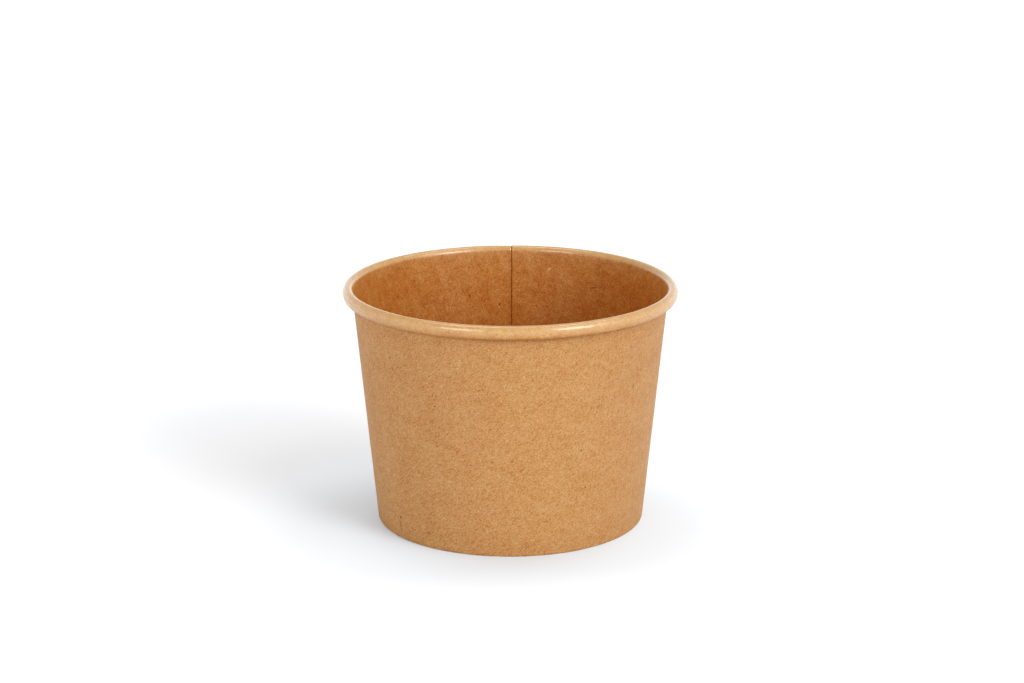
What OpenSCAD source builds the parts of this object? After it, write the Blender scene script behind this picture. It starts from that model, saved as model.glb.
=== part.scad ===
// Paper soup cup: a rolled paperboard side wall with a lapped side seam, a rolled rim and a turned-in
// standing edge, and a flanged base panel held in the fold of that edge.
// Millimetres, +Z up. The origin is on the cup's axis in the standing plane, and the side seam faces +Y.

/* [Cup] */
// Diameter over the rolled rim
rim_diameter = 98; // [88:0.5:116]
// Diameter where the wall's outer face meets the standing plane
base_diameter = 78.7; // [60:0.1:86]
// Height from the standing plane to the top of the rim
cup_height = 70.4; // [45:0.1:120]
// Thickness of the paperboard
board = 0.45; // [0.3:0.01:0.6]

/* [Rolled rim] */
// Width of the rolled rim, across the wall
rim_width = 3.2; // [2.8:0.1:4.4]
// Straight outer side of the rim, between its rounded top and its rounded underside
rim_side = 0.8; // [0.2:0.1:2]
// How far the cut edge turns on inside the roll, past the wall
tail_turn = 80; // [20:5:120]

/* [Standing edge] */
// Length of the hem that is turned up inside the wall
hem_height = 6; // [3:0.1:12]
// Depth by which the fold is pressed flat where the cup stands
fold_press = 0.1; // [0.04:0.01:0.2]

/* [Base panel] */
// Radius of the drawn corner between panel and flange
base_corner = 1; // [0.7:0.1:2]
// Clear height between the hem's top edge and that corner
hem_clearance = 0.35; // [0.1:0.05:3]
// Gap that the seal coating fills between the flange and the wall or hem
seal_gap = 0.03; // [0.01:0.01:0.06]

/* [Side seam] */
// Width of the lap, at the middle of the wall
lap_width = 9; // [5:0.5:14]
// Width over which the outer layer climbs over the inner layer's edge
climb_width = 8; // [6:0.5:12]
// Depth by which the inner layer's edge is pressed into the outer layer
seam_press = 0.15; // [0.05:0.01:0.25]
// Width of the notch that the edge leaves across the rim
notch_width = 0.4; // [0.2:0.05:0.8]
// Depth of that notch
notch_depth = 0.2; // [0.1:0.02:0.28]

/* [Hidden] */
$fn = 180;
kraft = "#c8955c";
kraft_shaded = "#bd8a52";

// Degrees between the points of a rounded outline
arc_step = 10;
// Clear space between the roll's tail and the wall
tail_gap = 0.05;
// Depth that a sealed layer reaches into the one under it
seal_depth = board / 2;
// How far a cut runs past what it cuts
cut_past = 1;

// The roll: an upper and a lower arc of one radius, joined by the straight outer side
roll_r = rim_width / 2;
roll_top = [rim_diameter / 2 - roll_r, cup_height - roll_r];
roll_low = roll_top - [0, rim_side];

// The wall leaves the standing edge and touches the roll's upper arc with its inner face
base_r = base_diameter / 2;
reach = roll_top - [base_r, 0];
tilt = acos((roll_r - board) / norm(reach)) - atan2(reach[1], reach[0]);
up = [sin(tilt), cos(tilt)];
out = [cos(tilt), -sin(tilt)];
wall_top = reach * up;

// The fold that holds the flange: three layers of board with a seal on each side of the middle one
fold_r = 1.5 * board + seal_gap;
fold_start = (fold_r - fold_press - fold_r * sin(tilt)) / cos(tilt);
fold = on_wall(fold_r, fold_start);
flat_half = acos((fold_r - fold_press) / fold_r);
hem_top = on_wall(2 * fold_r, fold_start + hem_height);

// The cut edge turns up between the wall and the roll's outer side
tail_r = (roll_r - board) / cos(tilt) - tail_gap;
tail = roll_low - [0, roll_r - tail_r];

// The lap lies outside the wall, from the roll down and round the fold to the standing plane
lap_top = tail[1] / cos(tilt);
lap_drop = asin((fold_r - fold_press) / (fold_r + board));
mid_r = base_r + cup_height / 2 * tan(tilt);
lap_angle = lap_width / mid_r * 180 / PI;
climb_angle = climb_width / mid_r * 180 / PI;
// Angle that the lap's strip runs on past the climb, inside the wall
climb_root = climb_angle / 5;
// Moving a wall's centre sideways makes its surface fall away evenly to one side of the seam
climb_shift = board / climb_width * mid_r;

// A point in the wall's section, at a depth in from its outer face and a height up the wall
function on_wall(depth, height) = [base_r, 0] + height * up - depth * out;

// Points on a circle, from one angle to another
function arc(centre, radius, from, to) =
    let (steps = max(1, ceil(abs(to - from) / arc_step)))
    [for (i = [0 : steps])
        let (a = from + (to - from) * i / steps)
        centre + radius * [cos(a), sin(a)]];

// The roll's face that is the given depth in from the outside of the roll, from the wall to the cut edge
function roll_face(depth) = concat(
    arc(roll_top, roll_r - depth, 180 - tilt, 90),
    arc(roll_top, roll_r - depth, 90, 0),
    arc(roll_low, roll_r - depth, 0, -90),
    arc(tail, tail_r - depth, -90, -180),
    arc(roll_top, tail_r - depth, 180, 180 - tail_turn));

function reversed(points) = [for (i = [len(points) - 1 : -1 : 0]) points[i]];

// The side wall's section: hem, fold, wall and roll in one strip of board
side_wall_outline = concat(
    [hem_top],
    arc(fold, fold_r, 180 - tilt, 270 - flat_half),
    arc(fold, fold_r, 270 + flat_half, 360 - tilt),
    roll_face(board),
    reversed(roll_face(0)),
    arc(fold, fold_r - board, 360 - tilt, 180 - tilt),
    [on_wall(2 * fold_r - board, fold_start + hem_height)]);

// The lap's outer layer, which is sealed into the wall under it
lap_outline = concat(
    [on_wall(-board, lap_top)],
    arc(fold, fold_r + board, -tilt, -lap_drop),
    arc(fold, fold_r - seal_depth, -lap_drop, -tilt),
    [on_wall(seal_depth, lap_top)]);

// The base panel's section: panel, drawn corner and flange
flange_depth = board + seal_gap;
corner_z = hem_top[1] + hem_clearance;
corner_up = (corner_z - (flange_depth + base_corner) * sin(tilt)) / cos(tilt);
corner = on_wall(flange_depth + base_corner, corner_up);
base_height = corner_z + base_corner;
base_outline = concat(
    [[0, base_height]],
    arc(corner, base_corner, 90, -tilt),
    [on_wall(flange_depth, fold_start), on_wall(flange_depth + board, fold_start)],
    arc(corner, base_corner - board, -tilt, 90),
    [[0, base_height - board]]);

// A solid cone parallel to the wall, the given distance out from the wall's outer face
module wall_cone(offset) {
    foot_r = base_r + offset / cos(tilt);
    cylinder(h = cup_height, r1 = foot_r, r2 = foot_r + cup_height * tan(tilt));
}

// A copy of a wall's surface that climbs across the climb width and meets the seam at its true radius
module climbing_cone(offset) {
    translate([climb_shift, 0, 0])
        wall_cone(offset + climb_shift * climb_shift / (2 * mid_r));
}

module lap() {
    intersection() {
        rotate([0, 0, 90 - lap_angle])
            rotate_extrude(angle = lap_angle + climb_angle + climb_root)
                polygon(lap_outline);
        climbing_cone(board);
    }
}

// The step beside the inner layer's edge, where the outer layer leaves the round of the wall
module seam_groove() {
    foot = base_height + board;
    intersection() {
        climbing_cone(-seam_press);
        translate([-mid_r, 0, foot])
            cube([mid_r, 2 * mid_r, roll_top[1] - foot]);
    }
}

// The mark of the inner layer's edge across the outside of the roll, from the groove to the roll's underside
function notch_face(depth) = concat(
    [on_wall(board - depth, wall_top - cut_past)],
    arc(roll_top, roll_r - depth, 180 - tilt, 0),
    arc(roll_low, roll_r - depth, 0, -90));

module rim_notch() {
    translate([-notch_width, 0, 0])
        rotate([90, 0, 90])
            linear_extrude(notch_width)
                polygon(concat(notch_face(-cut_past), reversed(notch_face(notch_depth))));
}

module side_wall() {
    color(kraft)
        difference() {
            union() {
                rotate_extrude() polygon(side_wall_outline);
                lap();
            }
            seam_groove();
            rim_notch();
        }
}

module base_panel() {
    color(kraft_shaded)
        rotate_extrude() polygon(base_outline);
}

side_wall();
base_panel();
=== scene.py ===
"""Looks of a kraft paper soup cup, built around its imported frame.

The cup is two blanks of lined kraft board. One is wound into the side wall, with a glued lap at the back,
a rolled rim and a folded hem. The other is the base panel, whose flange the hem holds against the wall.
Both are made in the same way: a section line is wound round the axis and given the thickness of the board.
"""

import logging
from abc import ABC, abstractmethod
from dataclasses import dataclass, field, fields, replace
from enum import Enum
from math import acos, atan2, cos, degrees, exp, pi, radians, sin
from typing import Any

import bpy
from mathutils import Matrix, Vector


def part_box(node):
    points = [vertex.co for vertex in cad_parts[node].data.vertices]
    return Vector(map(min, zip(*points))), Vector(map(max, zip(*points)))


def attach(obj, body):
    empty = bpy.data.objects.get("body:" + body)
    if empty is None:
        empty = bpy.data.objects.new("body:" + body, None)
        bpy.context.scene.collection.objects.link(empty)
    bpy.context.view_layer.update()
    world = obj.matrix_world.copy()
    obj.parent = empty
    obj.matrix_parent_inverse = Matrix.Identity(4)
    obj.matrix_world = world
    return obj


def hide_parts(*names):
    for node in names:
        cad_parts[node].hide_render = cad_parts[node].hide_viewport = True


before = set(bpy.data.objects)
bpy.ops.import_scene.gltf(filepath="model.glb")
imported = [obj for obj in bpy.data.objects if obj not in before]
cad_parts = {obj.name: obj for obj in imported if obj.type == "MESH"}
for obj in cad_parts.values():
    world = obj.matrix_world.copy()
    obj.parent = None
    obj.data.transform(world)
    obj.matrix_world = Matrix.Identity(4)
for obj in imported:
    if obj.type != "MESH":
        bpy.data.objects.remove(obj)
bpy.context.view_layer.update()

MM = 0.001

# What a board's mesh keeps for its materials: its place on the flat blank, and two shares.
BLANK_MAP = "blank"
# The seam's dark line: partly glue, partly painted shade in the step of the lap.
GLUE_AND_SHADE_SHARE = "glue_and_shade"
# The paler tone at the rim: partly the stretched board, partly painted light, and painted shade where it
# falls away under the roll.
STRETCH_AND_LIGHT_SHARE = "stretch_and_light"

# Points closer together than this are one.
WELD = 1e-7

# A noise swings about this value.
NOISE_MIDDLE = 0.5

# Of a picture's tone curves, the one that acts on red, green and blue alike.
COMBINED_CURVE = 3

log = logging.getLogger("soup_cup")


class Reach(Enum):
    """How far round a row of a wound blank runs: to the end of its lap, or only to the seam."""

    LAP = 0
    SEAM = 1


class Run(Enum):
    """A stretch of the way round the wall, in winding order."""

    EASED = "eased"
    MAIN = "main"
    CLIMB = "climb"
    EDGE = "edge"
    LAP = "lap"


class BoardFace(Enum):
    """A side of the board, by the number that its faces carry while the board is made."""

    LINED = 0
    RIM = 1
    BARE = 2
    CUT = 3


class Speck(Enum):
    """What shows up in the pulp, by its colour."""

    # Bark's colour also draws the crease at the foot, as painted shade.
    BARK = "#55280C"
    STRAW = "#E9CBA0"


def linear(hex_colour: str) -> tuple[float, float, float, float]:
    """Turns an sRGB hex colour into linear red, green, blue and alpha.

    Args:
        hex_colour: Six hex digits after a hash sign.

    Returns:
        The linear colour, opaque.
    """
    shares = [int(hex_colour[at:at + 2], 16) / 255 for at in (1, 3, 5)]
    red, green, blue = (c / 12.92 if c <= 0.04045 else ((c + 0.055) / 1.055) ** 2.4 for c in shares)
    return red, green, blue, 1.0


def share_between(value: float, start: float, end: float) -> float:
    """Gives how far a value has come on its way from one value to another.

    Args:
        value: The value.
        start: Where the share is 0, as it is before that.
        end: Where the share is 1, as it is after that.

    Returns:
        The share, from 0 to 1.
    """
    return min(1.0, max(0.0, (value - start) / (end - start)))


def feed(tree: bpy.types.NodeTree, node: bpy.types.Node, inputs: dict[str | int, Any]) -> None:
    """Gives a node's inputs their values and links.

    Args:
        tree: The tree that holds the node.
        node: The node.
        inputs: A value, socket or node for each input, by name or number. A node gives its first output.
    """
    for key, value in inputs.items():
        shown = [socket for socket in node.inputs if socket.enabled]
        socket = shown[key] if isinstance(key, int) else next(s for s in shown if s.name == key)
        if isinstance(value, bpy.types.Node):
            value = next(output for output in value.outputs if output.enabled)
        if isinstance(value, bpy.types.NodeSocket):
            tree.links.new(value, socket)
        else:
            socket.default_value = value


def add_node(
    tree: bpy.types.NodeTree, kind: str, inputs: dict[str | int, Any] | None = None, **settings: Any,
) -> bpy.types.Node:
    """Adds a node to a tree, with its settings, values and links.

    Args:
        tree: The tree that takes the node.
        kind: The node's type.
        inputs: A value, socket or node for each input, by name or number. A node gives its first output.
        settings: The node's own properties.

    Returns:
        The new node.
    """
    node = tree.nodes.new(kind)
    for name, value in settings.items():
        setattr(node, name, value)
    feed(tree, node, inputs or {})
    return node


@dataclass(frozen=True)
class SectionPoint:
    """A point of a blank's section, on its lined face, in the half-plane of radius and height.

    It knows the way to the bare face, how far round its row runs, the way on to the lap, how freely the
    board wavers there, how far it has turned into the rim's roll, how pale it is drawn there (partly the
    stretched board, partly painted light, and painted shade where the paleness falls away under the roll)
    and whether the rolling tool has polished it.
    """

    place: Vector
    bare: Vector
    reach: Reach = Reach.LAP
    climb: Vector = field(default_factory=lambda: Vector((0, 0)))
    slack: float = 0.0
    curl: float = 0.0
    # How pale it is drawn: partly the stretched board, partly painted light; painted shade where it falls
    # away.
    stretch_and_light: float = 0.0
    polished: bool = False


@dataclass(frozen=True)
class Station:
    """A place on the way round a blank, where its section stands once.

    It has an angle about the axis and one on the flat blank, a share of the climb on to the lap and of the
    board's thickness, and shares that mark the seam's edge, its dark line (partly glue, partly painted shade
    in the step of the lap) and the way along the lap.
    """

    angle: float
    fan: float
    rise: float = 0.0
    thickness: float = 1.0
    edge: float = 0.0
    glue_and_shade: float = 0.0
    lap: float = 0.0


class Blank:
    """A blank of board: the line of its section, and the stations where it stands on the way round."""

    VECTORS = ("place", "bare", "climb")
    SHARES = ("slack", "curl", STRETCH_AND_LIGHT_SHARE, "polished")
    ROW_NUMBERS = ("out", "reach", *SHARES)
    COLUMN_NUMBERS = tuple(value.name for value in fields(Station))

    def __init__(self, apex: float, stations: list[Station]) -> None:
        """Starts a blank with an empty section.

        Args:
            apex: How far the section starts from the centre of the flat blank.
            stations: The way round.
        """
        self.apex = apex
        self.stations = stations
        self.section: list[SectionPoint] = []

    def add(self, point: SectionPoint) -> None:
        """Adds a point to the section, unless it lies on the last one."""
        if not self.section or (point.place - self.section[-1].place).length > WELD:
            self.section.append(point)

    def to_mesh(self, name: str) -> bpy.types.Mesh:
        """Makes the blank loose points that carry what the winding needs.

        Args:
            name: The mesh's name.

        Returns:
            The mesh, with the section's points first and the stations after them.
        """
        rows, columns = len(self.section), len(self.stations)
        mesh = bpy.data.meshes.new(name)
        mesh.vertices.add(rows + columns)
        for label in self.VECTORS:
            ways = [getattr(point, label) for point in self.section]
            flat = [value for way in ways for value in (way.x, 0.0, way.y)]
            layer = mesh.attributes.new(label, "FLOAT_VECTOR", "POINT")
            layer.data.foreach_set("vector", flat + [0.0] * 3 * columns)
        out = [self.apex]
        for before, after in zip(self.section, self.section[1:]):
            out.append(out[-1] + (after.place - before.place).length)
        numbers = {"out": out, "reach": [float(point.reach.value) for point in self.section]}
        for label in self.SHARES:
            numbers[label] = [float(getattr(point, label)) for point in self.section]
        for label, values in numbers.items():
            layer = mesh.attributes.new(label, "FLOAT", "POINT")
            layer.data.foreach_set("value", values + [0.0] * columns)
        for label in self.COLUMN_NUMBERS:
            layer = mesh.attributes.new(label, "FLOAT", "POINT")
            values = [getattr(station, label) for station in self.stations]
            layer.data.foreach_set("value", [0.0] * rows + values)
        return mesh


class Winding:
    """A Geometry Nodes tree that winds a blank's section round the axis and makes it a board."""

    SIZES = ("Board", "Climb", "Dip", "Waver", "Waver Size", "Seed")
    COUNTS = ("Rows", "Columns")
    WORKING = ("through", "past", "polished", "flat", "side")

    # The numbers of two sides are 1 apart.
    HALF_STEP = 0.5

    def __init__(self) -> None:
        """Builds the tree."""
        self.tree = bpy.data.node_groups.new("board winding", "GeometryNodeTree")
        self.tree.is_modifier = True
        self.sockets = self._add_sockets()
        self.given = add_node(self.tree, "NodeGroupInput").outputs
        self._finish(self._thicken(self._wind()))

    def _add_sockets(self) -> dict[str, str]:
        """Names the tree's inputs and its output.

        Returns:
            The identifier of each input, by its name.
        """
        interface = self.tree.interface
        interface.new_socket("Geometry", in_out="OUTPUT", socket_type="NodeSocketGeometry")
        interface.new_socket("Blank", in_out="INPUT", socket_type="NodeSocketGeometry")
        kinds = {name: "NodeSocketInt" for name in self.COUNTS}
        kinds |= {name: "NodeSocketFloat" for name in self.SIZES}
        kinds |= {face.name: "NodeSocketMaterial" for face in BoardFace}
        return {
            name: interface.new_socket(name, in_out="INPUT", socket_type=kind).identifier
            for name, kind in kinds.items()
        }

    def _read(self) -> dict[str, bpy.types.Node]:
        """Reads the section's and the station's values at each point of a grid of columns and rows.

        Returns:
            A node for each value, by its name.
        """
        tree, given = self.tree, self.given
        number = add_node(tree, "GeometryNodeInputIndex")
        row = add_node(tree, "FunctionNodeIntegerMath", {0: number, 1: given["Rows"]}, operation="MODULO")
        column = add_node(
            tree, "FunctionNodeIntegerMath", {0: number, 1: given["Rows"]}, operation="DIVIDE_FLOOR",
        )
        station = add_node(tree, "FunctionNodeIntegerMath", {0: column, 1: given["Rows"]}, operation="ADD")
        plan = {name: ("FLOAT_VECTOR", row) for name in Blank.VECTORS}
        plan |= {name: ("FLOAT", row) for name in Blank.ROW_NUMBERS}
        plan |= {name: ("FLOAT", station) for name in Blank.COLUMN_NUMBERS}
        read = {}
        for name, (kind, point) in plan.items():
            held = add_node(tree, "GeometryNodeInputNamedAttribute", {"Name": name}, data_type=kind)
            read[name] = add_node(
                tree, "GeometryNodeSampleIndex", {"Geometry": given["Blank"], "Value": held, "Index": point},
                data_type=kind, domain="POINT",
            )
        return read

    def _bend(self, read: dict[str, bpy.types.Node]) -> tuple[bpy.types.Node, bpy.types.Node]:
        """Turns the section to its station, with its climb, its waver and its notch at the seam's edge.

        Args:
            read: The node of each value.

        Returns:
            The node of a point's place, and that of the way from there through the board.
        """
        tree, given = self.tree, self.given
        lift = add_node(tree, "ShaderNodeMath", {0: read["rise"], 1: given["Climb"]}, operation="MULTIPLY")
        step = add_node(tree, "ShaderNodeVectorMath", {0: read["climb"], "Scale": lift}, operation="SCALE")
        lifted = add_node(tree, "ShaderNodeVectorMath", {0: read["place"], 1: step}, operation="ADD")
        there, facing = (
            add_node(
                tree, "ShaderNodeVectorRotate", {"Vector": way, "Angle": read["angle"]},
                rotation_type="Z_AXIS",
            )
            for way in (lifted, read["bare"])
        )
        fineness = add_node(tree, "ShaderNodeMath", {0: 1.0, 1: given["Waver Size"]}, operation="DIVIDE")
        noise = add_node(
            tree, "ShaderNodeTexNoise",
            {"Vector": there, "W": given["Seed"], "Scale": fineness, "Detail": 1.0}, noise_dimensions="4D",
        )
        swing = add_node(tree, "ShaderNodeMath", {0: noise, 1: NOISE_MIDDLE}, operation="SUBTRACT")
        room = add_node(tree, "ShaderNodeMath", {0: read["slack"], 1: given["Waver"]}, operation="MULTIPLY")
        notch = add_node(tree, "ShaderNodeMath", {0: read["curl"], 1: read["edge"]}, operation="MULTIPLY")
        sunk = add_node(tree, "ShaderNodeMath", {0: notch, 1: given["Dip"]}, operation="MULTIPLY")
        depth = add_node(tree, "ShaderNodeMath", {0: swing, 1: room, 2: sunk}, operation="MULTIPLY_ADD")
        shift = add_node(tree, "ShaderNodeVectorMath", {0: facing, "Scale": depth}, operation="SCALE")
        place = add_node(tree, "ShaderNodeVectorMath", {0: there, 1: shift}, operation="ADD")
        thick = add_node(
            tree, "ShaderNodeMath", {0: given["Board"], 1: read["thickness"]}, operation="MULTIPLY",
        )
        through = add_node(tree, "ShaderNodeVectorMath", {0: facing, "Scale": thick}, operation="SCALE")
        return place, through

    def _wind(self) -> bpy.types.Node:
        """Bends a grid round the axis as the board's lined face, and trims its rows at the seam.

        Returns:
            The lined face, whose points know the way through the board.
        """
        tree, given, read = self.tree, self.given, self._read()
        place, through = self._bend(read)
        spread = add_node(tree, "ShaderNodeCombineXYZ", {"Y": read["out"]})
        flat = add_node(
            tree, "ShaderNodeVectorRotate", {"Vector": spread, "Angle": read["fan"]}, rotation_type="Z_AXIS",
        )
        laid = add_node(tree, "GeometryNodeInputNamedAttribute", {"Name": "flat"}, data_type="FLOAT_VECTOR")
        past = add_node(tree, "ShaderNodeMath", {0: read["reach"], 1: read["lap"]}, operation="MULTIPLY")
        sheet = add_node(
            tree, "GeometryNodeMeshGrid", {"Vertices X": given["Columns"], "Vertices Y": given["Rows"]},
        )
        for name, value, kind, domain in (
            ("through", through, "FLOAT_VECTOR", "POINT"),
            ("past", past, "FLOAT", "POINT"),
            ("polished", read["polished"], "FLOAT", "POINT"),
            (GLUE_AND_SHADE_SHARE, read["glue_and_shade"], "FLOAT", "POINT"),
            (STRETCH_AND_LIGHT_SHARE, read[STRETCH_AND_LIGHT_SHARE], "FLOAT", "POINT"),
            ("flat", flat, "FLOAT_VECTOR", "POINT"),
            (BLANK_MAP, laid, "FLOAT2", "CORNER"),
        ):
            sheet = add_node(
                tree, "GeometryNodeStoreNamedAttribute", {"Geometry": sheet, "Name": name, "Value": value},
                data_type=kind, domain=domain,
            )
        sheet = add_node(tree, "GeometryNodeSetPosition", {"Geometry": sheet, "Position": place})
        held = add_node(tree, "GeometryNodeInputNamedAttribute", {"Name": "past"}, data_type="FLOAT")
        waste = add_node(tree, "ShaderNodeMath", {0: held, 1: 0.0}, operation="GREATER_THAN")
        sheet = add_node(
            tree, "GeometryNodeDeleteGeometry", {"Geometry": sheet, "Selection": waste},
            domain="FACE", mode="ALL",
        )
        return add_node(tree, "GeometryNodeMergeByDistance", {"Geometry": sheet, "Distance": WELD})

    def _thicken(self, sheet: bpy.types.Node) -> bpy.types.Node:
        """Makes the lined face a board with a bare face and cut edges, whose faces know their side.

        Args:
            sheet: The lined face.

        Returns:
            The closed board.
        """
        tree = self.tree
        through = add_node(
            tree, "GeometryNodeInputNamedAttribute", {"Name": "through"}, data_type="FLOAT_VECTOR",
        )
        drawn = add_node(
            tree, "GeometryNodeExtrudeMesh", {"Mesh": sheet, "Offset Scale": 0.0, "Individual": False},
            mode="FACES",
        )
        far = add_node(
            tree, "GeometryNodeSetPosition",
            {"Geometry": drawn, "Selection": drawn.outputs["Top"], "Offset": through},
        )
        bare = add_node(
            tree, "ShaderNodeMath", {0: drawn.outputs["Top"], 1: float(BoardFace.BARE.value)},
            operation="MULTIPLY",
        )
        far_side = add_node(
            tree, "ShaderNodeMath", {0: drawn.outputs["Side"], 1: float(BoardFace.CUT.value), 2: bare},
            operation="MULTIPLY_ADD",
        )
        polished = add_node(tree, "GeometryNodeInputNamedAttribute", {"Name": "polished"}, data_type="FLOAT")
        near_side = add_node(tree, "ShaderNodeMath", {0: polished, 1: 0.0}, operation="GREATER_THAN")
        near = add_node(tree, "GeometryNodeFlipFaces", {"Mesh": sheet})
        both = add_node(tree, "GeometryNodeJoinGeometry")
        for half, side in ((far, far_side), (near, near_side)):
            marked = add_node(
                tree, "GeometryNodeStoreNamedAttribute", {"Geometry": half, "Name": "side", "Value": side},
                data_type="FLOAT", domain="FACE",
            )
            feed(tree, both, {"Geometry": marked})
        return add_node(tree, "GeometryNodeMergeByDistance", {"Geometry": both, "Distance": WELD})

    def _finish(self, board: bpy.types.Node) -> None:
        """Stands the board on the floor, smooths its faces and gives each side its material.

        Args:
            board: The closed board.
        """
        tree = self.tree
        place = add_node(tree, "GeometryNodeInputPosition")
        at = add_node(tree, "ShaderNodeSeparateXYZ", {0: place}).outputs
        above = add_node(tree, "ShaderNodeMath", {0: at["Z"], 1: 0.0}, operation="MAXIMUM")
        standing = add_node(tree, "ShaderNodeCombineXYZ", {"X": at["X"], "Y": at["Y"], "Z": above})
        board = add_node(tree, "GeometryNodeSetPosition", {"Geometry": board, "Position": standing})
        side = add_node(tree, "GeometryNodeInputNamedAttribute", {"Name": "side"}, data_type="FLOAT")
        smooth = add_node(
            tree, "ShaderNodeMath", {0: side, 1: float(BoardFace.CUT.value)}, operation="LESS_THAN",
        )
        board = add_node(
            tree, "GeometryNodeSetShadeSmooth", {"Geometry": board, "Shade Smooth": smooth}, domain="FACE",
        )
        board = add_node(tree, "GeometryNodeRealizeInstances", {"Geometry": board})
        for face in BoardFace:
            chosen = add_node(
                tree, "ShaderNodeMath", {0: side, 1: float(face.value), 2: self.HALF_STEP},
                operation="COMPARE",
            )
            board = add_node(
                tree, "GeometryNodeSetMaterial",
                {"Geometry": board, "Selection": chosen, "Material": self.given[face.name]},
            )
        add_node(tree, "NodeGroupOutput", {"Geometry": board})

    def wind(
        self, name: str, blank: Blank, sizes: dict[str, float], faces: dict[BoardFace, bpy.types.Material],
    ) -> bpy.types.Object:
        """Winds a blank into a board and makes the result a plain mesh.

        Args:
            name: The piece's name.
            blank: The blank.
            sizes: A value for each of the tree's sizes.
            faces: The material of each side of the board.

        Returns:
            The finished piece, at the origin.
        """
        piece = bpy.data.objects.new(name, blank.to_mesh(f"{name} blank"))
        bpy.context.scene.collection.objects.link(piece)
        modifier = piece.modifiers.new("winding", "NODES")
        modifier.node_group = self.tree
        values = sizes | {"Rows": len(blank.section), "Columns": len(blank.stations)}
        values |= {face.name: material for face, material in faces.items()}
        for label, value in values.items():
            modifier[self.sockets[label]] = value
        graph = bpy.context.evaluated_depsgraph_get()
        mesh = bpy.data.meshes.new_from_object(
            piece.evaluated_get(graph), preserve_all_data_layers=True, depsgraph=graph,
        )
        piece.modifiers.remove(modifier)
        piece.data = mesh
        mesh.name = name
        for label in self.WORKING:
            mesh.attributes.remove(mesh.attributes[label])
        return piece


class WoundPiece(ABC):
    """A piece that is wound from a blank, and that stands for a node of the frame."""

    name = ""
    node = ""

    @abstractmethod
    def blank(self) -> Blank:
        """Draws the piece's blank."""

    @abstractmethod
    def sizes(self) -> dict[str, float]:
        """Gives a value for each of the winding's sizes."""

    def build(self, winding: Winding, faces: dict[BoardFace, bpy.types.Material]) -> bpy.types.Object:
        """Winds the piece, dresses its faces and puts it in its node's place.

        Args:
            winding: The tree that winds a blank.
            faces: The material of each side of the board.

        Returns:
            The finished piece.
        """
        piece = winding.wind(self.name, self.blank(), self.sizes(), faces)
        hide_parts(self.node)
        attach(piece, "root")
        return piece


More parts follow.
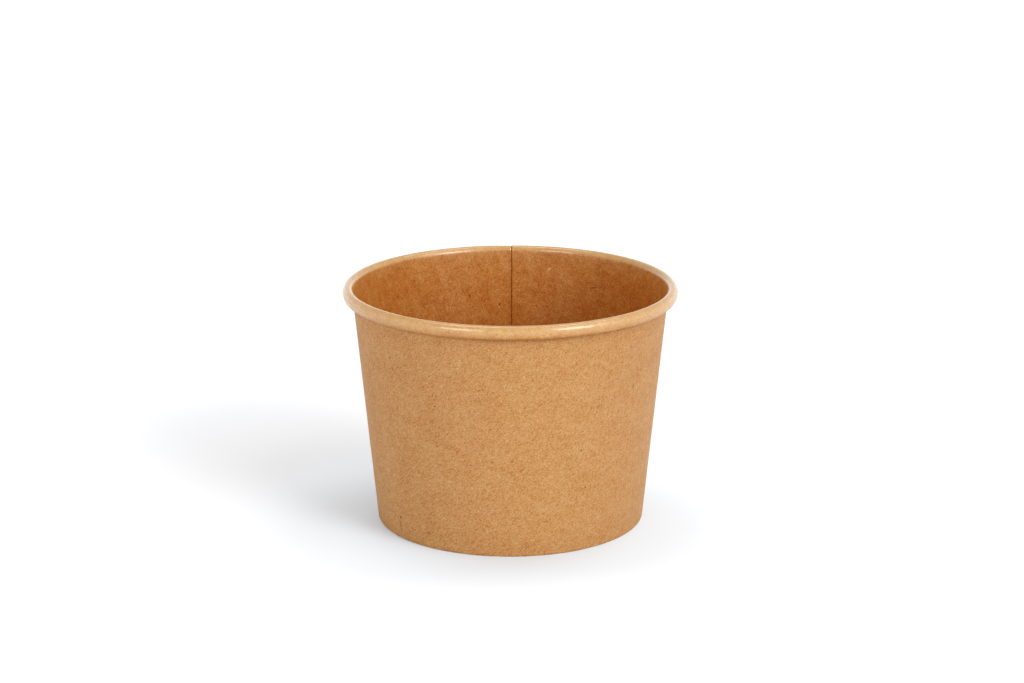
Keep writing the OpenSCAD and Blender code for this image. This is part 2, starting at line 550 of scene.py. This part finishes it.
@dataclass
class SideWall(WoundPiece):
    """The wall blank: hem, fold, cone, rolled rim and lapped seam. Its turns are in degrees."""

    name = "wall_board"
    node = "side_wall"

    rim_radius: float
    height: float
    base_radius: float = 39.35 * MM
    board: float = 0.45 * MM

    # The rolled rim, how pale it is drawn and how far the rolling polishes it. The paler tone is partly the
    # stretched board and partly painted light, on the roll and on the inner wall just below it; where it
    # falls away on the roll's underside, it is painted shade.
    rim_width: float = 3.2 * MM
    rim_side: float = 0.8 * MM
    tail_turn: float = 80.0
    tail_gap: float = 0.12 * MM
    stretch_and_light_width: float = 6 * MM
    wall_stretch: float = 0.25
    stretch_and_light_rise: tuple[float, float] = (10.0, 22.0)
    underside_shade_turns: tuple[float, float] = (165.0, 225.0)
    polish: tuple[float, float] = (17.0, 190.0)

    # The hem and its fold.
    hem_height: float = 6 * MM
    fold_press: float = 0.1 * MM
    fold_lap: float = 35.0
    seal_gap: float = 0.03 * MM

    # The seam: its lap, the climb on to it, its eased edge and the notch that it leaves in the rim.
    lap_width: float = 9 * MM
    climb_width: float = 8 * MM
    press_out: float = 3 * MM
    eased_width: float = 0.3 * MM
    eased_depth: float = 0.12 * MM
    notch_width: float = 0.18 * MM
    notch_depth: float = 0.2 * MM
    notch_turn: float = 20.0
    seam_press: float = 0.17
    seam_offset: float = 0.6
    rim_lap: float = 15.0
    rim_climb: float = 0.25
    rim_climb_turn: float = 90.0

    # The board's waver, which is free from a third of the way up.
    waver: float = 0.12 * MM
    waver_size: float = 16 * MM
    waver_seed: float = 3.0
    free_from: float = 1 / 3

    # How finely it is drawn.
    arc_step: float = 10.0
    rim_step: float = 6.0
    hem_steps: int = 3
    wall_steps: int = 24
    stretch_and_light_steps: int = 4
    eased_steps: int = 2
    round_steps: int = 312
    climb_steps: int = 12
    lap_steps: int = 10

    def __post_init__(self) -> None:
        """Works out the section's places from its sizes."""
        roll = self.rim_width / 2
        bare_reach = Vector((self.rim_radius - roll - self.base_radius, self.height - roll))
        self.tilt = acos((roll - self.board) / bare_reach.length) - atan2(bare_reach.y, bare_reach.x)
        self.up = Vector((sin(self.tilt), cos(self.tilt)))
        self.out = Vector((cos(self.tilt), -sin(self.tilt)))
        self.climb = self.board * (1 - self.seam_press) + self.seal_gap
        # The fold leaves room inside for the base panel's flange.
        self.fold = 1.5 * self.board + self.seal_gap
        self.fold_start = (self.fold - self.fold_press - self.fold * sin(self.tilt)) / cos(self.tilt)
        # The rim's section is an ellipse as tall and as far out as the rim. The wall runs smoothly into it.
        self.rim_tall = (self.rim_width + self.rim_side) / 2
        outermost = Vector((self.rim_radius, self.height - self.rim_tall))
        span = self.out.dot(outermost - self.on_wall(self.board, 0))
        self.rim_deep = (span ** 2 - (self.rim_tall * self.out.y) ** 2) / (2 * span * self.out.x)
        self.rim_centre = Vector((self.rim_radius - self.rim_deep, self.height - self.rim_tall))
        self.rim_start = pi - atan2(self.rim_tall * self.up.x, self.rim_deep * self.up.y)
        self.wall_top = (self.on_rim(self.rim_start) - Vector((self.base_radius, 0))).dot(self.up)
        self.tail = (roll - self.board) / cos(self.tilt) - self.tail_gap

    def on_wall(self, depth: float, height: float) -> Vector:
        """Gives a point of the section by its depth in from the outer face and its place up the slope."""
        return Vector((self.base_radius, 0)) + height * self.up - depth * self.out

    def on_rim(self, angle: float) -> Vector:
        """Gives a point of the rim's section by its angle on the ellipse."""
        return self.rim_centre + Vector((self.rim_deep * cos(angle), self.rim_tall * sin(angle)))

    def radius_at(self, height: float) -> float:
        """Gives the radius of the middle of the board at a height above the table."""
        return self.base_radius + height * self.up.x / self.up.y - self.board / 2

    def stations(self) -> list[Station]:
        """Sets out the way round: the eased edge, the main turn, the climb, the seam's edge and the lap.

        Returns:
            The stations, from the start of the blank to its end.
        """
        middle = (self.base_radius + self.rim_radius) / 2
        main_width = 2 * pi * middle - self.eased_width - self.climb_width - self.notch_width
        runs = {
            Run.EASED: (self.eased_width, self.eased_steps),
            Run.MAIN: (main_width, self.round_steps),
            Run.CLIMB: (self.climb_width, self.climb_steps),
            Run.EDGE: (self.notch_width, 1),
            Run.LAP: (self.lap_width, self.lap_steps),
        }
        stations: list[Station] = []
        wound = 0.0
        for run, (width, steps) in runs.items():
            for step in range(1 if stations else 0, steps + 1):
                share = step / steps
                far = wound + width * share
                eased = self.eased_depth * (1 - share) ** 2 if run is Run.EASED else 0.0
                on_lap = run in (Run.EDGE, Run.LAP)
                # The climb starts and ends gently.
                rise = share ** 2 * (3 - 2 * share) if run is Run.CLIMB else float(on_lap)
                under = share_between(far, self.lap_width + self.press_out, self.lap_width)
                stations.append(Station(
                    angle=pi / 2 - radians(self.seam_offset) - far / middle,
                    fan=(pi - far / middle) * sin(self.tilt),
                    rise=rise + eased / self.climb,
                    thickness=1 - self.seam_press * max(under, rise) - eased / self.board,
                    edge=share if run is Run.EDGE else float(run is Run.LAP),
                    glue_and_shade=share if run is Run.EDGE else 0.0,
                    lap=share if run is Run.LAP else 0.0,
                ))
            wound += width
        return stations

    def blank(self) -> Blank:
        """Draws the lined face from the hem's edge round the fold, up the wall and round the rim.

        Returns:
            The blank, with its section and its way round.
        """
        wall_start = self.on_wall(self.board, self.fold_start).x / sin(self.tilt)
        blank = Blank(wall_start - self.hem_height - pi * (self.fold - self.board), self.stations())
        for step in range(self.hem_steps + 1):
            height = self.fold_start + self.hem_height * (1 - step / self.hem_steps)
            place = self.on_wall(2 * self.fold - self.board, height)
            blank.add(SectionPoint(place, -self.out, Reach.SEAM))
        self._add_fold(blank)
        plain_height = self.wall_top - self.stretch_and_light_width - self.fold_start
        for step in range(self.wall_steps + 1):
            share = step / self.wall_steps
            place = self.on_wall(self.board, self.fold_start + plain_height * share)
            slack = share_between(share, 0, self.free_from)
            blank.add(SectionPoint(place, self.out, climb=self.out, slack=slack))
        # The inner wall grows paler towards the rim: partly the stretched board, partly painted light.
        for step in range(self.stretch_and_light_steps):
            share = step / self.stretch_and_light_steps
            place = self.on_wall(self.board, self.wall_top - self.stretch_and_light_width * (1 - share))
            stretch_and_light = self.wall_stretch * share ** 2
            blank.add(SectionPoint(place, self.out, climb=self.out, slack=1.0, stretch_and_light=stretch_and_light))
        self._add_roll(blank)
        return blank

    def _add_fold(self, blank: Blank) -> None:
        """Adds the fold under the wall, whose wall side moves out with the lap and whose hem side stays.

        Args:
            blank: The blank that takes the points.
        """
        centre = self.on_wall(self.fold, self.fold_start)
        steps = round(180 / self.arc_step)
        for step in range(steps + 1):
            left = 180 * (1 - step / steps)
            angle = -self.tilt - radians(left)
            way = Vector((cos(angle), sin(angle)))
            climb = self.out * (1 + cos(radians(left))) / 2
            reach = Reach.LAP if left < self.fold_lap else Reach.SEAM
            blank.add(SectionPoint(centre + way * (self.fold - self.board), way, reach, climb=climb))

    def _add_roll(self, blank: Blank) -> None:
        """Adds the rolled rim, round its top, down its outer side and back up inside.

        Args:
            blank: The blank that takes the points.
        """
        sweep = self.rim_start + pi / 2
        steps = round(degrees(sweep) / self.rim_step)
        for step in range(steps + 1):
            angle = self.rim_start - sweep * step / steps
            way = Vector((cos(angle) / self.rim_deep, sin(angle) / self.rim_tall)).normalized()
            now = 180 - degrees(self.tilt + atan2(way.y, way.x))
            climb = 1 - (1 - self.rim_climb) * share_between(now, 0, self.rim_climb_turn)
            # The roll turns paler past its start: partly the stretched board, partly painted light.
            grown = share_between(now, *self.stretch_and_light_rise)
            # Its underside goes back to brown, as painted shade.
            kept = 1 - share_between(now, *self.underside_shade_turns)
            blank.add(SectionPoint(
                self.on_rim(angle),
                bare=-way,
                reach=Reach.LAP if now < self.rim_lap else Reach.SEAM,
                climb=-way * climb,
                slack=1.0,
                curl=share_between(now, 0, self.notch_turn),
                stretch_and_light=(self.wall_stretch + (1 - self.wall_stretch) * grown) * kept,
                polished=self.polish[0] < now < self.polish[1],
            ))
        low = self.on_rim(-pi / 2) + Vector((0, self.tail))
        high = Vector((low.x, self.height - self.rim_width / 2))
        for centre, start, turn in ((low, -90, 90), (high, 180, self.tail_turn)):
            steps = round(turn / self.arc_step)
            for step in range(steps + 1):
                angle = radians(start - turn * step / steps)
                way = Vector((cos(angle), sin(angle)))
                blank.add(SectionPoint(
                    centre + way * self.tail, -way, Reach.SEAM,
                    climb=-way * self.rim_climb, slack=1.0, curl=1.0,
                ))

    def sizes(self) -> dict[str, float]:
        """Gives a value for each of the winding's sizes."""
        return {
            "Board": self.board, "Climb": self.climb, "Dip": self.notch_depth, "Waver": self.waver,
            "Waver Size": self.waver_size, "Seed": self.waver_seed,
        }


@dataclass
class BasePanel(WoundPiece):
    """The base blank: a flat panel with its edge turned down into a flange."""

    name = "base_board"
    node = "base_panel"

    wall: SideWall
    corner: float = 1 * MM
    hem_clearance: float = 0.35 * MM
    waver: float = 0.35 * MM
    waver_size: float = 30 * MM
    waver_seed: float = 8.0
    rim_hold: float = 4.0
    panel_steps: int = 16
    corner_steps: int = 9
    flange_steps: int = 4
    round_steps: int = 240

    def blank(self) -> Blank:
        """Draws the lined face from the middle of the panel out, round the corner and down the flange.

        Returns:
            The blank, with its section and its way round.
        """
        wall = self.wall
        turns = [2 * pi * step / self.round_steps for step in range(self.round_steps + 1)]
        blank = Blank(0.0, [Station(angle=-turn, fan=-turn) for turn in turns])
        depth = wall.board + wall.seal_gap
        hem_top = wall.on_wall(2 * wall.fold, wall.fold_start + wall.hem_height)
        height = hem_top.y + self.hem_clearance + self.corner
        foot = wall.on_wall(depth + self.corner, 0)
        centre = foot + wall.up * ((height - self.corner - foot.y) / wall.up.y)
        for step in range(self.panel_steps + 1):
            share = step / self.panel_steps
            place = Vector((centre.x * share, height))
            blank.add(SectionPoint(place, Vector((0, -1)), slack=1 - share ** self.rim_hold))
        for step in range(self.corner_steps + 1):
            angle = pi / 2 - (pi / 2 + wall.tilt) * step / self.corner_steps
            way = Vector((cos(angle), sin(angle)))
            blank.add(SectionPoint(centre + way * self.corner, -way))
        top = (centre - Vector((wall.base_radius, 0))).dot(wall.up)
        for step in range(self.flange_steps + 1):
            place = wall.on_wall(depth, top + (wall.fold_start - top) * step / self.flange_steps)
            blank.add(SectionPoint(place, -wall.out))
        return blank

    def sizes(self) -> dict[str, float]:
        """Gives a value for each of the winding's sizes."""
        return {
            "Board": self.wall.board, "Climb": 0.0, "Dip": 0.0, "Waver": self.waver,
            "Waver Size": self.waver_size, "Seed": self.waver_seed,
        }


@dataclass(frozen=True)
class Layer:
    """One layer of a board's pattern: a noise of a real size on the blank, all of it or only its peaks."""

    wide: float
    tall: float
    gain: float
    turn: float = 0.0
    detail: float = 2.0
    peaks: tuple[float, float] | None = None


# A crease is drawn as a dark mark only, which is painted shade.
@dataclass(frozen=True)
class Mark:
    """A speck, hair or crease in the board, by its degrees from the front and its height on the wall."""

    around: float
    height: float
    wide: float
    tall: float
    depth: float = 1.0
    lean: float = 0.0
    speck: Speck = Speck.BARK


@dataclass(frozen=True)
class KraftFace:
    """One face of unbleached kraft board: long brown fibres that lie flat in clouds, with specks of bark."""

    name: str
    tones: tuple[str, str, str]
    layers: tuple[Layer, ...]
    roughness: float
    relief: float
    ior: float = 1.5
    specular: float = 0.5
    film: float = 0.0
    film_roughness: float = 0.3
    film_ior: float = 1.5
    glue_and_shade_tone: str | None = None
    stretch_and_light_tones: tuple[str, str, str] | None = None
    rough_swing: float = 0.06

    # How far each layer lies from the one before, so that no two of them line up.
    layer_step: tuple[float, float] = (37 * MM, 53 * MM)

    # Specks lie one to a cell, and only in cells whose random grey is between these or past them.
    speck_spread: float = 15 * MM
    speck_size: float = 0.3 * MM
    speck_depth: float = 0.55
    speck_cells: tuple[float, float] = (0.5, 0.8)

    # A spot starts to show at the first share of its size, and shows fully at the second.
    mark_edge: tuple[float, float] = (0.65, 0.3)

    def material(self, marks: tuple[Mark, ...] = (), wall: SideWall | None = None) -> bpy.types.Material:
        """Makes the face's material.

        Args:
            marks: Marks that lie at known places on the wall.
            wall: The wall that carries the marks.

        Returns:
            The material.
        """
        material = bpy.data.materials.new(self.name)
        material.use_nodes = True
        tree = material.node_tree
        blank = add_node(tree, "ShaderNodeUVMap", uv_map=BLANK_MAP)
        tone = self._tone(tree, blank)
        colour = self._ramp(tree, tone, self.tones)
        # The roll is drawn paler: partly the stretched board, partly painted light, with painted shade under
        # it.
        if self.stretch_and_light_tones:
            stretch_and_light = add_node(tree, "ShaderNodeAttribute", attribute_name=STRETCH_AND_LIGHT_SHARE)
            paler = self._ramp(tree, tone, self.stretch_and_light_tones)
            colour = add_node(
                tree, "ShaderNodeMix",
                {"Factor": stretch_and_light.outputs["Fac"], "A": colour, "B": paler}, data_type="RGBA",
            )
        for speck, share in self._specks(tree, blank, marks, wall).items():
            colour = add_node(
                tree, "ShaderNodeMix", {"Factor": share, "A": colour, "B": linear(speck.value)},
                data_type="RGBA",
            )
        # The seam's dark line: partly glue, partly painted shade in the step of the lap.
        if self.glue_and_shade_tone:
            glue_and_shade = add_node(tree, "ShaderNodeAttribute", attribute_name=GLUE_AND_SHADE_SHARE)
            colour = add_node(
                tree, "ShaderNodeMix",
                {"Factor": glue_and_shade.outputs["Fac"], "A": colour, "B": linear(self.glue_and_shade_tone)}, data_type="RGBA",
            )
        dull, smooth = self.roughness + self.rough_swing, self.roughness - self.rough_swing
        rough = add_node(tree, "ShaderNodeMapRange", {"Value": tone, "To Min": dull, "To Max": smooth})
        bump = add_node(tree, "ShaderNodeBump", {"Distance": self.relief, "Height": tone})
        feed(tree, tree.nodes["Principled BSDF"], {
            "Base Color": colour, "Roughness": rough, "Normal": bump, "IOR": self.ior,
            "Specular IOR Level": self.specular, "Coat Weight": self.film,
            "Coat Roughness": self.film_roughness, "Coat IOR": self.film_ior,
        })
        return material

    def _tone(self, tree: bpy.types.NodeTree, blank: bpy.types.Node) -> bpy.types.Node:
        """Adds up the layers of the pattern, about a middle tone of one half.

        Args:
            tree: The material's tree.
            blank: The node that gives the place on the flat blank, in metres.

        Returns:
            The node whose output is the tone.
        """
        gain = sum(layer.gain for layer in self.layers if not layer.peaks)
        tone: bpy.types.Node | float = NOISE_MIDDLE * (1 - gain)
        for number, layer in enumerate(self.layers):
            place = add_node(
                tree, "ShaderNodeMapping",
                {"Vector": blank, "Location": (number * self.layer_step[0], number * self.layer_step[1], 0),
                 "Rotation": (0, 0, radians(layer.turn)), "Scale": (layer.wide, layer.tall, 1)},
                vector_type="TEXTURE",
            )
            noise = add_node(
                tree, "ShaderNodeTexNoise", {"Vector": place, "Scale": 1.0, "Detail": layer.detail},
                noise_dimensions="2D",
            )
            if layer.peaks:
                noise = add_node(
                    tree, "ShaderNodeMapRange",
                    {"Value": noise, "From Min": layer.peaks[0], "From Max": layer.peaks[1]},
                    interpolation_type="SMOOTHSTEP",
                )
            tone = add_node(
                tree, "ShaderNodeMath", {0: noise, 1: layer.gain, 2: tone}, operation="MULTIPLY_ADD",
            )
        return tone

    def _ramp(
        self, tree: bpy.types.NodeTree, tone: bpy.types.Node, tones: tuple[str, str, str],
    ) -> bpy.types.Node:
        """Colours the tone by a ramp, dark to light, evenly spread.

        Args:
            tree: The material's tree.
            tone: The node whose output is the tone.
            tones: The ramp's colours.

        Returns:
            The ramp.
        """
        ramp = add_node(tree, "ShaderNodeValToRGB", {"Fac": tone})
        elements = ramp.color_ramp.elements
        while len(elements) < len(tones):
            elements.new(1.0)
        for number, colour in enumerate(tones):
            elements[number].position = number / (len(tones) - 1)
            elements[number].color = linear(colour)
        return ramp

    def _specks(
        self, tree: bpy.types.NodeTree, blank: bpy.types.Node,
        marks: tuple[Mark, ...], wall: SideWall | None,
    ) -> dict[Speck, bpy.types.Node]:
        """Strews bark over the blank, in some cells of a Voronoi pattern, and adds the marks.

        Args:
            tree: The material's tree.
            blank: The node that gives the place on the flat blank, in metres.
            marks: Marks that lie at known places on the wall.
            wall: The wall that carries the marks.

        Returns:
            A node for each kind of speck, whose output is its share.
        """
        cells = add_node(
            tree, "ShaderNodeTexVoronoi", {"Vector": blank, "Scale": 1 / self.speck_spread},
            voronoi_dimensions="2D",
        )
        size = self.speck_size / self.speck_spread
        spot = add_node(
            tree, "ShaderNodeMapRange",
            {"Value": cells.outputs["Distance"], "From Min": size, "From Max": size * self.mark_edge[1]},
            interpolation_type="SMOOTHSTEP",
        )
        kept = add_node(
            tree, "ShaderNodeMapRange",
            {"Value": cells.outputs["Color"], "From Min": self.speck_cells[0],
             "From Max": self.speck_cells[1], "To Max": self.speck_depth},
        )
        shares = {Speck.BARK: add_node(tree, "ShaderNodeMath", {0: spot, 1: kept}, operation="MULTIPLY")}
        here = add_node(tree, "ShaderNodeTexCoord").outputs["Object"]
        for mark in marks:
            turn = radians(mark.around) - pi / 2
            radius = wall.radius_at(mark.height)
            # A mark is deeper than the board, so that it shows on the face at its full size.
            local = add_node(
                tree, "ShaderNodeMapping",
                {"Vector": here, "Location": (radius * cos(turn), radius * sin(turn), mark.height),
                 "Rotation": (radians(mark.lean), 0, turn), "Scale": (2 * wall.board, mark.wide, mark.tall)},
                vector_type="TEXTURE",
            )
            reach = add_node(tree, "ShaderNodeVectorMath", {0: local}, operation="LENGTH").outputs["Value"]
            spot = add_node(
                tree, "ShaderNodeMapRange",
                {"Value": reach, "From Min": self.mark_edge[0], "From Max": self.mark_edge[1],
                 "To Max": mark.depth},
                interpolation_type="SMOOTHSTEP",
            )
            other = shares.get(mark.speck)
            shares[mark.speck] = spot if other is None else add_node(
                tree, "ShaderNodeMath", {0: other, 1: spot}, operation="MAXIMUM",
            )
        return shares


@dataclass(frozen=True)
class Lamp:
    """A soft box far off, by its degrees to the right of the camera, its elevation, strength and breadth.

    Where it leaves no shadow on the floor, it lights the floor through the cup.
    """

    name: str
    around: float
    elevation: float
    strength: float
    breadth: float
    floor_shadow: bool = True


@dataclass
class Studio:
    """The floor, the light and the camera."""

    floor_size: float = 8.0
    floor_drop: float = 0.01 * MM
    floor_tones: tuple[str, str] = ("#E7F1F9", "#F0F1F3")
    floor_blend: tuple[float, float] = (38 * MM, 90 * MM)
    floor_roughness: float = 0.8
    floor_specular: float = 0.1
    horizon: float = 1.47
    zenith: float = 0.0

    # The camera, fitted to the cup's outline in the photograph, with its angles in degrees.
    lens: float = 92.06
    distance: float = 774.88 * MM
    elevation: float = 16.889
    aim_height: float = 35 * MM
    pitch: float = 15.625
    yaw: float = 0.038

    # The print's soft toe, as a share of white.
    print_toe: float = 0.09
    print_steps: int = 20

    lamps: tuple[Lamp, ...] = (
        Lamp("key box", 55, 41, 0.71, 44),
        Lamp("right strip", 47, 26, 1.15, 26),
        Lamp("left strip", -36, 26, 0.87, 26, floor_shadow=False),
        Lamp("back box right", 126, 62, 0.36, 26),
        Lamp("back box left", -125, 72, 0.36, 26),
        Lamp("top box", 180, 80, 0.54, 40),
    )

    def build(self, cup: list[bpy.types.Object]) -> None:
        """Makes the whole studio.

        Args:
            cup: The cup's pieces.
        """
        floor = [self._floor()]
        for lamp in self.lamps:
            if lamp.floor_shadow:
                self._light(lamp)
            else:
                self._light(lamp, lit=cup)
                self._light(lamp, lit=floor, shaded_by=floor)
        self._sky()
        self._camera()
        self._develop()

    def _floor(self) -> bpy.types.Object:
        """Lays a white floor just under the cup, a little cooler where the cup throws warm light on it.

        Returns:
            The floor.
        """
        half = self.floor_size / 2
        corners = [(-half, -half, 0), (half, -half, 0), (half, half, 0), (-half, half, 0)]
        mesh = bpy.data.meshes.new("floor")
        mesh.from_pydata(corners, [], [(0, 1, 2, 3)])
        floor = bpy.data.objects.new("floor", mesh)
        bpy.context.scene.collection.objects.link(floor)
        floor.location.z = -self.floor_drop
        # A matt white sheet shows soft shadows and hardly any gloss.
        material = bpy.data.materials.new("white acrylic sheet")
        material.use_nodes = True
        tree = material.node_tree
        here = add_node(tree, "ShaderNodeTexCoord").outputs["Object"]
        away = add_node(tree, "ShaderNodeVectorMath", {0: here}, operation="LENGTH").outputs["Value"]
        share = add_node(
            tree, "ShaderNodeMapRange",
            {"Value": away, "From Min": self.floor_blend[0], "From Max": self.floor_blend[1]},
        )
        near, far = (linear(tone) for tone in self.floor_tones)
        tone = add_node(tree, "ShaderNodeMix", {"Factor": share, "A": near, "B": far}, data_type="RGBA")
        feed(tree, tree.nodes["Principled BSDF"], {
            "Base Color": tone, "Roughness": self.floor_roughness, "Specular IOR Level": self.floor_specular,
        })
        mesh.materials.append(material)
        return floor

    def _light(
        self, lamp: Lamp, lit: list[bpy.types.Object] | None = None,
        shaded_by: list[bpy.types.Object] | None = None,
    ) -> None:
        """Adds a soft box as a broad sun, so that the floor is lit evenly.

        Args:
            lamp: The soft box.
            lit: What it lights, or None for everything.
            shaded_by: What stands in its light, or None for everything.
        """
        sun = bpy.data.lights.new(lamp.name, "SUN")
        sun.energy = lamp.strength
        sun.angle = radians(lamp.breadth)
        holder = bpy.data.objects.new(lamp.name, sun)
        bpy.context.scene.collection.objects.link(holder)
        around, rise = radians(lamp.around), radians(lamp.elevation)
        way = Vector((cos(rise) * sin(around), -cos(rise) * cos(around), sin(rise)))
        holder.rotation_euler = way.to_track_quat("Z", "Y").to_euler()
        for label, group in (("receiver_collection", lit), ("blocker_collection", shaded_by)):
            if group:
                collection = bpy.data.collections.new(f"{lamp.name} {label}")
                for member in group:
                    collection.objects.link(member)
                setattr(holder.light_linking, label, collection)

    def _sky(self) -> None:
        """Surrounds the scene with white walls under a dark ceiling."""
        world = bpy.data.worlds.new("white studio")
        world.use_nodes = True
        tree = world.node_tree
        way = add_node(tree, "ShaderNodeTexCoord").outputs["Generated"]
        height = add_node(tree, "ShaderNodeSeparateXYZ", {0: way}).outputs["Z"]
        glow = add_node(
            tree, "ShaderNodeMapRange", {"Value": height, "To Min": self.horizon, "To Max": self.zenith},
        )
        feed(tree, tree.nodes["Background"], {"Color": (1, 1, 1, 1), "Strength": glow})
        bpy.context.scene.world = world

    def _camera(self) -> None:
        """Sets the camera where the photograph was taken from."""
        camera = bpy.data.cameras.new("camera")
        camera.lens = self.lens
        holder = bpy.data.objects.new("camera", camera)
        bpy.context.scene.collection.objects.link(holder)
        rise = radians(self.elevation)
        holder.location = (0, -self.distance * cos(rise), self.aim_height + self.distance * sin(rise))
        holder.rotation_euler = (pi / 2 - radians(self.pitch), 0, -radians(self.yaw))
        bpy.context.scene.camera = holder

    def _develop(self) -> None:
        """Gives the picture the contrast of a studio print, whose deep tones fall off in a soft toe."""
        settings = bpy.context.scene.view_settings
        settings.view_transform = "Standard"
        settings.use_curve_mapping = True
        curve = settings.curve_mapping.curves[COMBINED_CURVE]
        white = 1 - self.print_toe * (1 - exp(-1 / self.print_toe))
        for step in range(1, self.print_steps):
            # The curve's points stand closer together in the deep tones.
            light = (step / self.print_steps) ** 2
            shown = (light - self.print_toe * (1 - exp(-light / self.print_toe))) / white
            curve.points.new(light, shown)
        settings.curve_mapping.update()


# Formation clouds, flocs and the fibres themselves. Real fibres are 0.03 mm wide, too fine to show, so they
# are drawn as bundles of about 0.3 mm.
BARE_LAYERS = (
    Layer(9 * MM, 6 * MM, 0.18),
    Layer(2.4 * MM, 1.6 * MM, 0.25, turn=8),
    Layer(1.1 * MM, 0.65 * MM, 0.35, turn=-14),
    Layer(0.50 * MM, 0.25 * MM, 0.80, turn=6, detail=1),
    Layer(2.0 * MM, 0.3 * MM, 0.10, turn=20, detail=1, peaks=(0.6, 0.72)),
    Layer(2.0 * MM, 0.3 * MM, 0.10, turn=78, detail=1, peaks=(0.6, 0.72)),
    Layer(2.4 * MM, 0.3 * MM, -0.15, turn=-35, detail=1, peaks=(0.6, 0.72)),
    Layer(2.4 * MM, 0.3 * MM, -0.15, turn=125, detail=1, peaks=(0.6, 0.72)),
)

# The lined face was the wire side of the sheet, which is cloudier and has the paper machine's faint streaks.
LINED_LAYERS = (
    Layer(2.5 * MM, 24 * MM, 0.20, turn=3),
    Layer(8 * MM, 6 * MM, 0.34),
    Layer(2.4 * MM, 1.8 * MM, 0.40, turn=8),
    Layer(1.0 * MM, 0.8 * MM, 0.50, turn=-20),
    Layer(0.40 * MM, 0.30 * MM, 0.95, detail=1),
    Layer(1.6 * MM, 0.3 * MM, 0.12, turn=35, detail=1, peaks=(0.62, 0.74)),
    Layer(2.0 * MM, 0.3 * MM, -0.14, turn=110, detail=1, peaks=(0.62, 0.74)),
)

# The bare face scatters light: matt, pale and dry, with a soft relief of fibres.
BARE_FACE = KraftFace(
    "kraft paperboard, bare face",
    tones=("#95562A", "#AE8458", "#C2A37C"),
    layers=BARE_LAYERS,
    roughness=0.6,
    relief=0.012 * MM,
)

# The lined face lies under a thin film of plastic, which deepens its brown and leaves a soft gleam. At the
# rim its paler tones are partly the stretched board, whose film pulls loose from the fibres, and partly
# painted light; where they give way to brown under the roll, that is painted shade.
LINED_FACE = KraftFace(
    "kraft paperboard, film-lined face",
    tones=("#975012", "#B27B42", "#C79C72"),
    layers=LINED_LAYERS,
    roughness=0.5,
    relief=0.008 * MM,
    film=0.6,
    film_roughness=0.35,
    # Its seam's dark line is partly glue and partly painted shade in the step of the lap.
    glue_and_shade_tone="#80502A",
    stretch_and_light_tones=("#AD7E4F", "#BA9363", "#CAA676"),
)

# The base panel isn't rolled, so its film keeps the dull grain of the board.
LINED_BASE = replace(LINED_FACE, name="kraft paperboard, film-lined base", specular=0.3, film=0.12)

# The rim is rolled by a hot, polished tool, which leaves narrow, bright highlights.
ROLLED_RIM = replace(
    LINED_FACE, name="kraft paperboard, film-lined and rolled", film=1.0, film_roughness=0.13,
)

# A knife-cut edge shows the torn ends of the fibres: pale, dry and uneven.
CUT_EDGE = KraftFace(
    "kraft paperboard, cut edge",
    tones=("#A87C50", "#C49C70", "#DFC09A"),
    layers=BARE_LAYERS[1:4],
    roughness=0.75,
    relief=0.03 * MM,
)

# Specks, a hair and a faint smear on the inside.
INNER_MARKS = (
    Mark(196.3, 64.3 * MM, 0.46 * MM, 0.6 * MM),
    Mark(196.4, 55.5 * MM, 0.46 * MM, 1.0 * MM),
    Mark(184.3, 52.4 * MM, 0.5 * MM, 0.65 * MM),
    Mark(229.7, 58.8 * MM, 0.6 * MM, 0.7 * MM, depth=0.7),
    Mark(191.3, 58.9 * MM, 1.2 * MM, 0.9 * MM, depth=0.3, lean=40),
    Mark(145.5, 59.5 * MM, 3.2 * MM, 0.4 * MM, depth=0.65, lean=-12),
    Mark(164.7, 63.7 * MM, 1.6 * MM, 1.0 * MM, depth=0.3, lean=-30, speck=Speck.STRAW),
)

# Specks on the outside, and a short crease at the foot drawn as a dark line of painted shade.
OUTER_MARKS = (
    Mark(-28.9, 44.5 * MM, 0.8 * MM, 0.45 * MM, depth=0.8, lean=-10),
    Mark(-49.3, 56.2 * MM, 0.65 * MM, 0.65 * MM, depth=0.7),
    Mark(-6.8, 29.2 * MM, 0.5 * MM, 0.65 * MM, depth=0.7),
    Mark(-36.0, 4.7 * MM, 0.6 * MM, 0.8 * MM, depth=0.7),
    Mark(28.2, 31.3 * MM, 0.6 * MM, 0.65 * MM, depth=0.8),
    Mark(31.1, 19.6 * MM, 0.5 * MM, 0.65 * MM, depth=0.7),
    Mark(52.4, 47.4 * MM, 0.5 * MM, 1.8 * MM, depth=0.6),
    Mark(-11.1, 47.7 * MM, 0.4 * MM, 4.2 * MM, depth=0.2, lean=14),
    Mark(-52.6, 6.7 * MM, 0.6 * MM, 0.9 * MM),
    # The crease at the foot: painted shade, for the board has no crease there.
    Mark(-53.0, 4.4 * MM, 0.45 * MM, 4.6 * MM, depth=0.6),
)


def main() -> None:
    """Builds the cup and its studio, in order."""
    logging.basicConfig(level=logging.INFO)
    log.info("nodes: %s", ", ".join(sorted(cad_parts)))
    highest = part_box(SideWall.node)[1]
    wall = SideWall(rim_radius=highest[0], height=highest[2])
    faces = {
        BoardFace.LINED: LINED_FACE.material(INNER_MARKS, wall),
        BoardFace.RIM: ROLLED_RIM.material(),
        BoardFace.BARE: BARE_FACE.material(OUTER_MARKS, wall),
        BoardFace.CUT: CUT_EDGE.material(),
    }
    winding = Winding()
    base_faces = faces | {BoardFace.LINED: LINED_BASE.material()}
    cup = [wall.build(winding, faces), BasePanel(wall).build(winding, base_faces)]
    for piece in cup:
        log.info("%s: %d faces", piece.name, len(piece.data.polygons))
    Studio().build(cup)


if __name__ == "__main__":
    main()
